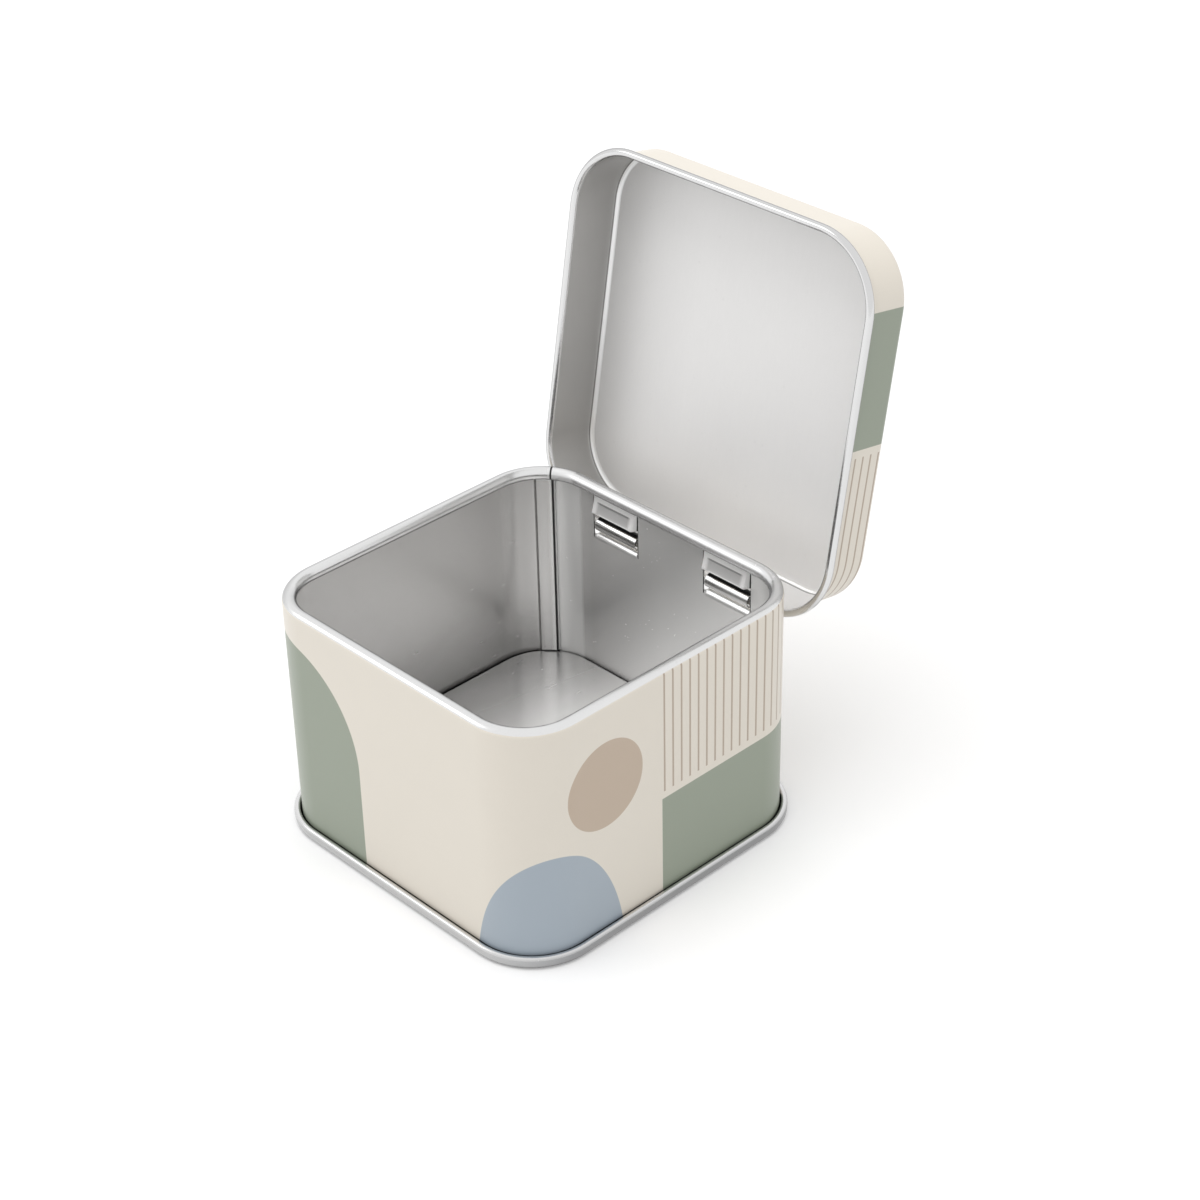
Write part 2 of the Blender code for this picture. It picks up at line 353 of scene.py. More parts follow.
# Hinges: over the upper slot a hood slopes in, a strap bows out between the slots, and the lower
# slot's edge turns out as a rounded lip. A shallow panel is stamped into each hood.
hinges = {
    "cornerGap": 0.0026, "tongueWidth": 0.0106, "tongueRadius": 0.0014, "filletRadius": 0.0006,
    "rootRise": 0.0034, "notchWidth": 0.0007, "strapHeight": 0.0017, "strapBow": 0.0007,
    "strapBulge": 0.00032, "sideGap": 0.0006, "slotGap": 0.0003, "strapFlank": 0.0007, "strapSteps": 8,
    "lipRadius": 0.00125, "lipTurn": math.radians(75), "lipSteps": 8, "hoodRimGap": 0.0002,
    "hoodEdgeRise": 0.0034, "hoodDepth": 0.0013,
    "hoodShares": ((0, 0), (0.1, 0.06), (0.25, 0.24), (1, 1)),  # depth at shares of its height
    "hoodBlend": (-0.06, -0.02, 0.02, 0.06), "hoodFlank": 0.0008, "hoodSteps": 16, "flankSteps": 7,
    "panelInset": 0.0021, "panelOutset": 0.0013, "panelDrop": 0.0019, "panelFlank": 0.0004,
    "panelDepth": 0.00018, "panelSteps": 3,
}
slotHalf = hinges["tongueWidth"] / 2 + hinges["sideGap"]
hingePlace = reach - hinges["cornerGap"] - slotHalf
hingeCentres = (-hingePlace, hingePlace)

wall = {
    "rimRadius": 0.0013,
    "rimRoll": math.radians(300),
    "rimSteps": 36,
    "printEdge": math.radians(25),
    "seamHeight": 0.0025,
    "hookSteps": 8,
    "floorHeight": 0.0065,
}
hoodTop = rimTop - 2 * wall["rimRadius"] - hinges["hoodRimGap"]
hoodEdge = axisHeight + hinges["hoodEdgeRise"]
panelTop = hoodTop - hinges["panelDrop"]
lipBottom = axisHeight - hinges["tongueRadius"] - hinges["lipRadius"]
lidSkirt = tin["lidGap"] + tin["sheet"] / 2
lidHeight = rimTop + lidSkirt

# Finishes
bare = {
    "bump": 0.000002,
    "spot": swatch(120, 118, 115),
    "spotShare": 0.35,
    "scratchRough": 0.22,
    "scratchDepth": 2.0,
    # Black, for folds, gaps and creases painted as shade.
    "paintedBlackShade": (0.01, 0.01, 0.01, 1),
    "crevice": {"Open": 0.5, "Shut": 0.15},
    # From how steep a view a rolled edge is painted darker as shade.
    "turnedAway": (0.42, 0.85),  # from how steep a view a rolled edge darkens
    "usual": {"lines": 0.10, "clouds": 0.1, "scratches": 0.0, "spots": 0.0, "reach": 0.0008},
    "wall": {
        # The second colour is a painted highlight and the third painted shade.
        "colour": swatch(216, 215, 214), "paintedHighlight": swatch(250, 250, 249), "paintedShadeTone": swatch(190, 189, 188),
        # The rolled rim, painted lighter as a highlight, and painted shade where it turns away.
        "rim": swatch(228, 228, 228), "rimEdgeShade": swatch(152, 152, 153),
        # The hoods, painted lighter, and their stamped panels, painted darker as shade.
        "hood": swatch(252, 251, 250), "hoodPanel": swatch(200, 199, 198),
        "metallic": 1.0, "hoodMetal": 0.3, "roughness": 0.25, "hoodRough": 0.4,
        "lines": 0.12, "clouds": 0.15, "scratches": 0.1, "spots": 0.1,
    },
    "end": {
        # The floor's own tone, a painted highlight and painted shade.
        "colour": swatch(208, 207, 206), "paintedHighlight": swatch(250, 249, 248), "paintedShadeTone": swatch(182, 181, 180),
        # The double seam painted grey as shade, and greyer at the right and the back.
        "seam": swatch(192, 192, 192), "seamShade": swatch(158, 158, 159),
        # A painted highlight along the seam's top and painted shade at its foot.
        "seamTopHighlight": swatch(240, 240, 240), "seamFootShade": swatch(112, 112, 113),
        "roughness": 0.24, "clouds": 0.15, "scratches": 0.3, "spots": 0.2, "reach": 0.0004,
    },
    "lid": {
        # The panel's own tone, its left painted darker as shade, and the skirt painted darker as shade.
        "colour": swatch(236, 235, 234), "paintedShadeTone": swatch(222, 221, 220), "skirt": swatch(186, 185, 183),
        # A painted highlight along the edge of the flat panel.
        "line": swatch(250, 250, 250),
        "metallic": 0.15, "shinyMetal": 1.0, "roughness": 0.42, "shinyRough": 0.22,
        "lines": 0.30, "clouds": 0.12, "scratches": 0.2, "spots": 0.1,
    },
    "tongue": {
        # The bead is painted greyer as shade, and darker as shade where it turns away.
        "colour": swatch(226, 226, 225), "bead": swatch(214, 214, 214), "beadEdgeShade": swatch(120, 120, 121),
        "metallic": 1.0, "roughness": 0.16,
    },
    "cut": {"colour": swatch(205, 204, 203), "metallic": 0.5, "roughness": 0.3},
}
ink = {
    "cream": swatch(225, 218, 206),
    "sage": swatch(145, 153, 137),
    "tan": swatch(190, 172, 153),
    "blue": swatch(162, 173, 183),
    "line": swatch(176, 160, 144),
    "mottle": 0.5,
    "roughness": 0.40,
    "coat": 0.25,
    "coatRough": 0.2,
    "edge": 0.00006,
    "bump": 0.000004,
    # Black, for creases painted as shade.
    "paintedBlackShade": (0.02, 0.02, 0.02, 1),
    "crevice": {"Reach": 0.0003, "Open": 0.4, "Shut": 0.1},
}


def newMaterial(name, slotColour):
    material = bpy.data.materials.new(name)
    material.use_nodes = True
    material.diffuse_color = slotColour
    tree = material.node_tree
    return material, tree, tree.nodes["Principled BSDF"]


def objectPlace(tree):
    return addNode(tree, "TexCoord").outputs["Object"]


def objectParts(tree):
    apart = addNode(tree, "SeparateXYZ")
    feed(tree, apart.inputs[0], objectPlace(tree))
    return apart.outputs


def sheetPlace(tree):
    # Way and height, kept with the mesh as its own map.
    apart = addNode(tree, "SeparateXYZ")
    feed(tree, apart.inputs[0], addNode(tree, "UVMap", uv_map="sheet").outputs[0])
    return apart.outputs[0], apart.outputs[1]


def bumped(tree, height, depth):
    return feedAll(tree, addNode(tree, "Bump"), {"Distance": depth, "Height": height})[0]


def makeBareTin(name, look, detailOf=None):
    # Bare tinplate. detailOf can give its own colour, metallic and roughness, and the masks of folds
    # and gaps that are painted black as shade.
    look = {**bare["usual"], **look}
    material, tree, shader = newMaterial(name, look["colour"])
    vector = objectPlace(tree)
    grain = useGroup(tree, rolledGrain, Vector=vector, Lines=look["lines"], Clouds=look["clouds"])
    marks = useGroup(tree, handling, Vector=vector, Scratches=look["scratches"], Spots=look["spots"])
    detail = {**look, "paintedBlackShade": (), **(detailOf(tree, look) if detailOf else {})}
    colour = timesGrey(tree, detail["colour"], grain["Tone"])
    colour = blendColour(tree, product(tree, marks["Spot"], bare["spotShare"]), colour, bare["spot"])
    # Close folds and gaps, found by ambient occlusion, are painted black as shade.
    near = useGroup(tree, crevice, Reach=look["reach"], **bare["crevice"])["Mask"]
    paintedBlackShade = highest(tree, near, *detail["paintedBlackShade"])
    scratchRough = product(tree, marks["Scratch"], bare["scratchRough"])
    height = less(tree, grain["Height"], product(tree, marks["Scratch"], bare["scratchDepth"]))
    feedAll(tree, shader, {
        "Base Color": blendColour(tree, paintedBlackShade, colour, bare["paintedBlackShade"]),
        "Metallic": detail["metallic"],
        "Roughness": total(tree, grain["Rough"], detail["roughness"], scratchRough),
        "Normal": bumped(tree, height, bare["bump"]),
    })
    return material


wallPrint = {
    "domes": {
        "sage": {"Middle": -0.0290, "Spring": 0.0221, "Half width": 0.0204, "Rise": 0.0204, "Foot": 0.0},
        "tan": {"Middle": 0.0485, "Spring": 0.0324, "Half width": 0.0087, "Rise": 0.0087, "Foot": -9.0},
        "blue": {"Middle": 0.0369, "Spring": -0.0061, "Half width": 0.0156, "Rise": 0.0285, "Foot": -9.0},
    },
    "block": {"From": 0.0619, "To": 0.0990, "Bottom": 0.0, "Top": 0.0222},
    "stripeBlock": {"From": 0.0619, "To": 0.0990, "Bottom": 0.0236, "Top": 0.0490},
    "stripes": {"First": 0.06255, "Pitch": 0.0021, "Line": 0.00034},
    "upright": True,
    # The gap over the double seam is painted black as shade.
    "foot": (0.0022, 0.0020),  # the gap over the double seam
}
lidPrint = {
    "domes": {},
    "block": {"From": 0.0406, "To": 0.0661, "Bottom": 0.0, "Top": 0.0488},
    "stripeBlock": {"From": 0.0675, "To": 0.1100, "Bottom": 0.0388, "Top": 0.0488},
    "stripes": {"First": 0.03965, "Pitch": 0.0021, "Line": 0.00034},
    "upright": False,
}


def makePrint(name, printOf):
    # Ink over tin, under a satin lacquer: round shapes, a block and stripes on a plain ground.
    material, tree, shader = newMaterial(name, ink["cream"])
    way, height = sheetPlace(tree)
    colour = ink["cream"]
    for inkName, sizes in printOf["domes"].items():
        edge = ink["edge"] / sizes["Half width"]
        mask = useGroup(tree, dome, Way=way, Height=height, Edge=edge, **sizes)["Mask"]
        colour = blendColour(tree, mask, colour, ink[inkName])
    solid, field = (
        useGroup(tree, block, Way=way, Height=height, Edge=ink["edge"], **printOf[part])["Mask"]
        for part in ("block", "stripeBlock")
    )
    across = way if printOf["upright"] else height
    lines = useGroup(tree, pinstripes, Across=across, Edge=ink["edge"], **printOf["stripes"])["Mask"]
    colour = blendColour(tree, solid, colour, ink["sage"])
    colour = blendColour(tree, product(tree, field, lines), colour, ink["line"])
    layerOf = useGroup(tree, inkLayer, Vector=objectPlace(tree), Mottle=ink["mottle"])
    toned = timesGrey(tree, colour, layerOf["Tone"])
    # Creases found by ambient occlusion and the gap over the double seam are painted black as shade.
    gap = span(tree, height, *printOf["foot"]) if "foot" in printOf else 0.0
    paintedBlackShade = highest(tree, useGroup(tree, crevice, **ink["crevice"])["Mask"], gap)
    feedAll(tree, shader, {
        "Base Color": blendColour(tree, paintedBlackShade, toned, ink["paintedBlackShade"]),
        "Roughness": total(tree, layerOf["Rough"], ink["roughness"]),
        "Normal": bumped(tree, layerOf["Height"], ink["bump"]),
        "Coat Weight": ink["coat"],
        "Coat Roughness": ink["coatRough"],
    })
    return material


def rolledWithPaintedShade(tree, colour, shadeColour):
    # A rolled edge is painted darker as shade where it turns away from the eye.
    facing = addNode(tree, "LayerWeight").outputs["Facing"]
    return blendColour(tree, span(tree, facing, *bare["turnedAway"]), colour, shadeColour)


def below(top, drops):
    return [top - drop for drop in drops]


def slotAcross(tree, x):
    # How far a place along the back wall is inside the nearer hinge's slots.
    aside = less(tree, calc(tree, "ABSOLUTE", x), hingePlace)
    return less(tree, slotHalf, calc(tree, "ABSOLUTE", aside))


# Where the wall's tones lie: pairs run from none to full, and of three the last is the fade outside.
# Ways count from the seam's crease, plus on the left wall, and drops down from the rim's top.
wallTones = {
    # The strips beside the crease and the field over the back wall place a painted highlight.
    "stripLeft": (0.0015, 0.0005), "stripRight": (-0.0110, -0.0050),
    # The left wall's field places painted shade.
    "backPaintedHighlight": (-0.006, -0.028, 0.3, 0.9), "leftPaintedShade": (0.0045, 0.060, 0.0025),
    "backMatt": (-0.060, -0.0003, 0.0003), "backMattShare": 0.28,
    "foldMatt": (-0.0055, -0.0003, 0.0015), "foldMattShare": 0.6,
    # The crease and the drops under the rim place black painted shade; the rim's drops place its painted
    # highlight.
    "crease": (-0.00014, 0.00014, 0.00018), "rimDrops": (0.0030, 0.0027),
    "underRimDrops": (0.0025, 0.0022), "underRimFade": 0.0001,
}

# The lines of dark painted shade and the painted light and shade round the hinges, on the back wall only
hingeTones = {
    "backDepths": (0.0045, 0.0040), "fade": 0.0001, "hoodTopGap": 0.0004, "hoodSides": (0.0001, 0.0003),
    "panelFootGap": 0.0003, "panelFade": 0.0002, "crestHalf": 0.0001, "crestShare": 0.5,
    "sideHalf": 0.00008, "headDrops": (0.0003, 0.0001), "headFade": 0.00008, "headSides": (0.0, 0.0001),
}


def hoodTones(tree, height, x, y):
    # Masks of the hoods, painted lighter, and the panels in them, painted darker as shade, and of the
    # dark lines of painted shade round the hinges.
    tones, across = hingeTones, slotAcross(tree, x)
    fade, crestHalf, sideHalf = (tones[name] for name in ("fade", "crestHalf", "sideHalf"))
    inBack = span(tree, y, *below(half, tones["backDepths"]))
    hood = within(tree, height, hoodEdge, hoodTop - tones["hoodTopGap"], fade)
    hood = product(tree, hood, inBack, span(tree, across, *tones["hoodSides"]))
    inPanel = span(tree, across, hinges["panelOutset"], hinges["panelInset"])
    panel = within(tree, height, hoodEdge + tones["panelFootGap"], panelTop, tones["panelFade"])
    panel = product(tree, panel, inPanel, hood)
    # A dark line of painted shade along the panel's top.
    crest = within(tree, height, panelTop - crestHalf, panelTop + crestHalf, fade)
    crest = product(tree, crest, inPanel, inBack, tones["crestShare"])
    # Dark lines of painted shade at the slots' ends and under the rim.
    sides = within(tree, across, -sideHalf, sideHalf, sideHalf)
    sides = product(tree, sides, inBack, within(tree, height, lipBottom, hoodTop, fade))
    head = within(tree, height, *below(hoodTop, tones["headDrops"]), tones["headFade"])
    head = product(tree, head, inBack, span(tree, across, *tones["headSides"]))
    return hood, panel, (sides, head, crest)


def wallDetail(tree, look):
    # A painted highlight beside the seam's crease and over the back wall, painted shade over the left
    # wall, the rolled rim painted lighter with painted shade where it turns away, the hoods painted
    # lighter and duller with their panels painted darker, and black painted shade in the seam's crease,
    # under the rolled rim and in the creases round the hinges.
    way, height = sheetPlace(tree)
    x, y = objectParts(tree)[:2]
    tones = wallTones
    along = calc(tree, "WRAP", less(tree, way, crease), girth / 2, -girth / 2)
    paintedHighlight = lowest(tree, span(tree, along, *tones["stripLeft"]), span(tree, along, *tones["stripRight"]))
    paintedHighlight = highest(tree, paintedHighlight, span(tree, along, *tones["backPaintedHighlight"]))
    matt = product(tree, within(tree, along, *tones["backMatt"]), tones["backMattShare"])
    foldMatt = product(tree, within(tree, along, *tones["foldMatt"]), tones["foldMattShare"])
    rim = span(tree, height, *below(rimTop, tones["rimDrops"]))
    underRim = within(tree, height, *below(rimTop, tones["underRimDrops"]), tones["underRimFade"])
    hood, panel, lines = hoodTones(tree, height, x, y)
    # A painted highlight beside the crease and over the back wall.
    colour = blendColour(tree, paintedHighlight, look["colour"], look["paintedHighlight"])
    # Painted shade over the left wall.
    colour = blendColour(tree, within(tree, along, *tones["leftPaintedShade"]), colour, look["paintedShadeTone"])
    # The rolled rim is painted lighter as a highlight, and darker as shade where it turns away.
    colour = blendColour(tree, rim, colour, rolledWithPaintedShade(tree, look["rim"], look["rimEdgeShade"]))
    # Hoods painted lighter, their stamped panels painted darker as shade.
    colour = blendColour(tree, hood, colour, look["hood"])
    colour = blendColour(tree, panel, colour, look["hoodPanel"])
    metal = span(tree, hood, 0.0, 1.0, look["metallic"], look["hoodMetal"])
    return {
        "colour": colour,
        "metallic": less(tree, metal, highest(tree, matt, foldMatt)),
        "roughness": span(tree, hood, 0.0, 1.0, look["roughness"], look["hoodRough"]),
        "paintedBlackShade": (within(tree, along, *tones["crease"]), underRim, *lines),
    }


# Where the floor's tones lie, across it, and those of the double seam round it, by height
endTones = {
    # The middle and the corner place the floor's painted highlight and painted shade; the seam's turn, top
    # and foot its painted shade and highlight.
    "lean": 0.2, "middle": (-0.029, -0.016), "middleMetal": (0.76, 0.62), "corner": (-0.030, -0.036),
    "seamHeights": (0.0045, 0.0035), "seamTurn": (-0.010, 0.010),
    "seamTopHighlight": (0.0019, 0.0024, 0.0, 0.75), "seamFootShade": (0.0008, 0.0003, 0.0, 0.7),
}


def endDetail(tree, look):
    # The floor is painted brighter towards the front right as a highlight and darker at its far left as
    # shade. The double seam is painted grey as shade, greyer at the right and the back, with a painted
    # highlight along its top and painted shade at its foot.
    height = sheetPlace(tree)[1]
    x, y = objectParts(tree)[:2]
    tones = endTones
    across = less(tree, x, product(tree, y, tones["lean"]))
    # A painted highlight over the floor towards the front right.
    colour = blendColour(tree, span(tree, across, *tones["middle"]), look["colour"], look["paintedHighlight"])
    # Painted shade at the floor's far left.
    colour = blendColour(tree, span(tree, across, *tones["corner"]), colour, look["paintedShadeTone"])
    # The double seam painted grey as shade, with a painted highlight along its top and painted shade at its
    # foot.
    seamColour = blendColour(
        tree, span(tree, total(tree, x, y), *tones["seamTurn"]), look["seam"], look["seamShade"]
    )
    for name in ("seamTopHighlight", "seamFootShade"):
        seamColour = blendColour(tree, span(tree, height, *tones[name]), seamColour, look[name])
    seam = span(tree, height, *tones["seamHeights"])
    metal = span(tree, across, *tones["middle"], *tones["middleMetal"])
    return {"colour": blendColour(tree, seam, colour, seamColour), "metallic": highest(tree, metal, seam)}


# Where the lid's tones lie. Drops count down from the middle of its flat panel's sheet.
lidTones = {
    # These place the skirt's painted shade, the painted highlight line, the line of painted shade, the
    # panel's painted shade at the left, painted light near the hinges and black painted shade at the slots.
    "skirtDrops": (0.0005, 0.0006), "lineDrops": (0.00046, 0.00004), "lineFade": 0.00003,
    "edgeDrops": (0.00072, 0.00052), "edgeFade": 0.00004, "edgeShare": 0.55,
    "leftPanel": (-0.034, -0.012), "lowRise": (0.020, 0.008), "lowSide": (-0.02, 0.0),
    "skirtMetal": (0.7, 0.3), "lineMetal": 0.5, "slotSides": (-0.0005, -0.0003),
    "slotReach": (0.0036, 0.0030),
}


def lidDetail(tree, look):
    # The drawn skirt stays shiny metal but is painted darker as shade, painted lighter near the hinges,
    # where it is duller, with a painted highlight line and a line of painted shade along the edge of the
    # flat panel, and black painted shade where the skirt passes the slots.
    height = sheetPlace(tree)[1]
    x, y, z = objectParts(tree)
    tones = lidTones
    skirt = span(tree, height, *below(lidHeight, tones["skirtDrops"]))
    line = within(tree, height, *below(lidHeight, tones["lineDrops"]), tones["lineFade"])
    edge = within(tree, height, *below(lidHeight, tones["edgeDrops"]), tones["edgeFade"])
    low = product(tree, span(tree, z, *tones["lowRise"]), span(tree, x, *tones["lowSide"]))
    # The left of the lid's panel is painted darker as shade.
    colour = blendColour(tree, span(tree, x, *tones["leftPanel"]), look["paintedShadeTone"], look["colour"])
    # The skirt painted darker as shade, lighter near the hinges as painted light.
    colour = blendColour(tree, skirt, colour, blendColour(tree, low, look["skirt"], look["colour"]))
    skirtMetal = product(tree, skirt, span(tree, low, 0.0, 1.0, *tones["skirtMetal"]))
    metal = highest(tree, skirtMetal, product(tree, line, tones["lineMetal"]))
    # Black painted shade where the skirt passes the slots.
    atSlot = span(tree, slotAcross(tree, x), *tones["slotSides"])
    atHinge = span(tree, fromMiddle(tree, y, z), *tones["slotReach"])
    return {
        "colour": blendColour(tree, line, colour, look["line"]),
        "metallic": span(tree, metal, 0.0, 1.0, look["metallic"], look["shinyMetal"]),
        "roughness": span(tree, metal, 0.0, 1.0, look["roughness"], look["shinyRough"]),
        "paintedBlackShade": (product(tree, atSlot, atHinge), product(tree, edge, tones["edgeShare"])),
    }


# Where the tongues are painted dark as shade and the bead begins, counted from the hinge line
tongueTones = {
    "topRise": (0.00122, 0.00130), "topReach": (0.0020, 0.0018), "slotSides": (-0.0006, -0.0004),
    "beadFrom": (0.0040, 0.0048),
}


def tongueDetail(tree, look):
    # Black painted shade on top of the roll, inside the upper slot. The lid's bead has this finish too,
    # greyer as painted shade, and painted darker as shade where it turns away from the eye.
    x, y, z = objectParts(tree)
    tones = tongueTones
    far = fromMiddle(tree, y, z)
    # Black painted shade on top of the roll, inside the upper slot.
    top = product(tree, span(tree, z, *tones["topRise"]), span(tree, far, *tones["topReach"]))
    bead = rolledWithPaintedShade(tree, look["bead"], look["beadEdgeShade"])
    return {
        "colour": blendColour(tree, span(tree, far, *tones["beadFrom"]), look["colour"], bead),
        "paintedBlackShade": (product(tree, top, span(tree, slotAcross(tree, x), *tones["slotSides"])),),
    }


wallInk = makePrint("printed wall", wallPrint)
lidInk = makePrint("printed lid", lidPrint)
wallTin = makeBareTin("bare tin wall", bare["wall"], wallDetail)
endTin = makeBareTin("bare tin end", bare["end"], endDetail)
lidTin = makeBareTin("bare tin lid", bare["lid"], lidDetail)
cutEdge = makeBareTin("cut edge", bare["cut"])
tongueTin = makeBareTin("bare tin tongues", bare["tongue"], tongueDetail)
print("finishes built")


# Sections and sweeps

def arc(offset, height, radius, start, end, steps):
    # Points of an arc in a section, angles counted from outward to up.
    turn = (end - start) / steps
    return [
        (offset + radius * math.cos(start + turn * k), height + radius * math.sin(start + turn * k))
        for k in range(steps + 1)
    ]


def evenly(start, end, steps):
    return [start + (end - start) * k / steps for k in range(steps + 1)]


def smooth(share):
    share = min(max(share, 0), 1)
    return share * share * (3 - 2 * share)


def planStations(backCuts, lastTurns):
    # Places round the box, clockwise from the back wall: centre, outward direction and way.
    stations = [(x, reach, math.pi / 2, girth / 2 - x) for x in sorted(backCuts)]
    way = girth / 2 - reach
    for side, (signX, signY) in enumerate(((1, 1), (1, -1), (-1, -1), (-1, 1))):
        turns = lastTurns if side == 3 else evenly(0, math.pi / 2, tin["cornerSteps"])
        for turn in turns:
            facing = math.pi / 2 * (1 - side) - turn
            stations.append((signX * reach, signY * reach, facing, way - turn * tin["cornerRadius"]))
        way -= quarter + 2 * reach
    return stations


def place(station, offset, height):
    x, y, facing, way = station
    distance = tin["cornerRadius"] + offset
    return Vector((x + distance * math.cos(facing), y + distance * math.sin(facing), tableZ + height))


# What a face is: the number of its outer material, with that of its inner side next
inked, plain, beaded = 0, 1, 2


def newSheet():
    # A thin surface through the middle of a sheet, whose points keep their way and height.
    bm = bmesh.new()
    bm.verts.layers.float.new("way")
    bm.verts.layers.float.new("height")
    bm.loops.layers.uv.new("sheet")
    return bm


def addPoint(bm, station, offset, height):
    vert = bm.verts.new(place(station, offset, height))
    vert[bm.verts.layers.float["way"]] = station[3]
    vert[bm.verts.layers.float["height"]] = height
    return vert


def addFace(bm, corners, surface):
    wayOf = bm.verts.layers.float["way"]
    heightOf = bm.verts.layers.float["height"]
    face = bm.faces.new(corners)
    face.smooth = True
    face.material_index = surface
    least = min(vert[wayOf] for vert in corners)
    for loop in face.loops:
        way = loop.vert[wayOf]
        if way - least > girth / 2:  # the face that closes the way round
            way -= girth
        loop[bm.loops.layers.uv["sheet"]].uv = (way, loop.vert[heightOf])
    return face


def sweepRings(bm, rings, keep, surfaceOf):
    count = len(rings[0])
    for row in range(len(rings) - 1):
        for column in range(count):
            if keep(row, column):
                after = (column + 1) % count
                upper, lower = rings[row], rings[row + 1]
                corners = (upper[column], upper[after], lower[after], lower[column])
                addFace(bm, corners, surfaceOf(row, column))


def finishSheet(bm, name, materials, rims, body, cadNode, turn=0.0, pivot=None):
    # The sheet as a piece that rides on its body and stands for its node of the frame. rims counts
    # on from a face's outer material to that of its cut edges.
    if pivot:
        bmesh.ops.translate(bm, verts=bm.verts, vec=-pivot)
        bmesh.ops.rotate(bm, verts=bm.verts, matrix=Matrix.Rotation(turn, 3, "X"))
    for label in ("way", "height"):
        bm.verts.layers.float.remove(bm.verts.layers.float[label])
    mesh = bpy.data.meshes.new(name)
    bm.to_mesh(mesh)
    bm.free()
    for material in materials:
        mesh.materials.append(material)
    mesh.set_sharp_from_angle(angle=tin["sharpAngle"])
    piece = bpy.data.objects.new(name, mesh)
    bpy.context.scene.collection.objects.link(piece)
    if pivot:
        piece.location = pivot
    thicken = piece.modifiers.new("Sheet", "SOLIDIFY")
    thicken.thickness = tin["shownSheet"]
    thicken.offset = 0
    thicken.use_even_offset = True
    thicken.use_quality_normals = True
    thicken.material_offset = 1
    thicken.material_offset_rim = rims
    flat = piece.modifiers.new("Flat faces stay flat", "WEIGHTED_NORMAL")
    flat.keep_sharp = True
    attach(piece, body)
    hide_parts(cadNode)
    return piece


def hoodProfile(drop):
    # How deep the hood is at a share of its height: slow under the rim, then steady.
    before = hinges["hoodShares"][0]
    for after in hinges["hoodShares"][1:]:
        if drop <= after[0]:
            share = (drop - before[0]) / (after[0] - before[0])
            return before[1] + (after[1] - before[1]) * share
        before = after
    return 1.0


def hingeRows():
    # Rows through the hinges from the hood's top down, as height, push and the length of the
    # bend at their sides, and the rows of the slots.
    hoodHeight = hoodTop - hoodEdge
    panelStart, panelFlank = hinges["panelDrop"] / hoodHeight, hinges["panelFlank"] / hoodHeight
    drops = set(evenly(0, 1, hinges["hoodSteps"]))
    drops.update(evenly(panelStart, panelStart + panelFlank, hinges["panelSteps"]))
    rows = []
    for drop in sorted(drops):
        around = [hoodProfile(min(max(drop + shift, 0), 1)) for shift in hinges["hoodBlend"]]
        depth = 0 if drop == 0 else sum(around) / len(around)
        rows.append((hoodTop - hoodHeight * drop, -hinges["hoodDepth"] * depth, hinges["hoodFlank"]))
    slots = [len(rows) - 1]
    bow, flank = hinges["strapBow"], hinges["strapFlank"]
    for share in evenly(-1, 1, hinges["strapSteps"]):
        height = axisHeight - share * hinges["strapHeight"] / 2
        rows.append((height, bow - hinges["strapBulge"] * (1 - share * share), flank))
    slots.append(len(rows) - 1)
    lip = hinges["lipRadius"]
    lipTop = axisHeight - hinges["tongueRadius"] - tin["sheet"] - hinges["slotGap"]
    start = math.pi - hinges["lipTurn"]
    for push, height in arc(lip, lipTop - lip, lip, start, math.pi, hinges["lipSteps"]):
        rows.append((height, push, flank))
    return rows, slots


def hingeColumns():
    # Places along the back wall where the hinges bend, from each hinge's middle.
    panelLeft = hinges["panelInset"] - slotHalf
    panelRight = slotHalf - hinges["panelOutset"]
    offsets = set()
    for side in (-1, 1):
        for flank in (hinges["strapFlank"], hinges["hoodFlank"]):
            offsets.update(side * (slotHalf - step) for step in evenly(0, flank, hinges["flankSteps"]))
    offsets.update(panelLeft + step for step in evenly(0, hinges["panelFlank"], hinges["panelSteps"]))
    offsets.update(panelRight - step for step in evenly(0, hinges["panelFlank"], hinges["panelSteps"]))
    return sorted(offsets)


def pressedBy(offset, height, push, flank):
    # How far out a point of a hinge is pressed, with the shallow panel in the hood.
    side = smooth((slotHalf - abs(offset)) / flank)
    if height < hoodEdge:
        return push * side
    fromSide = min(offset + slotHalf - hinges["panelInset"], slotHalf - hinges["panelOutset"] - offset)
    inPanel = smooth(fromSide / hinges["panelFlank"])
    inPanel *= smooth((panelTop - height) / hinges["panelFlank"])
    inPanel *= smooth((height - hoodEdge) / hinges["panelFlank"])
    return push * side + inPanel * hinges["panelDepth"]


def seamTurns():
    # The back left corner's turns, with the places where the seam folds.
    outerFold = sideSeam["turn"] - foldTurn
    innerFold = sideSeam["turn"] + foldTurn
    rampStart = outerFold - (layer + sideSeam["rampLength"]) / tin["cornerRadius"]
    turns = evenly(0, rampStart, sideSeam["cornerSteps"])
    turns += evenly(outerFold, innerFold, sideSeam["innerSteps"])
    turns += evenly(innerFold, math.pi / 2, sideSeam["cornerSteps"])[1:]
    return turns, rampStart, outerFold, innerFold


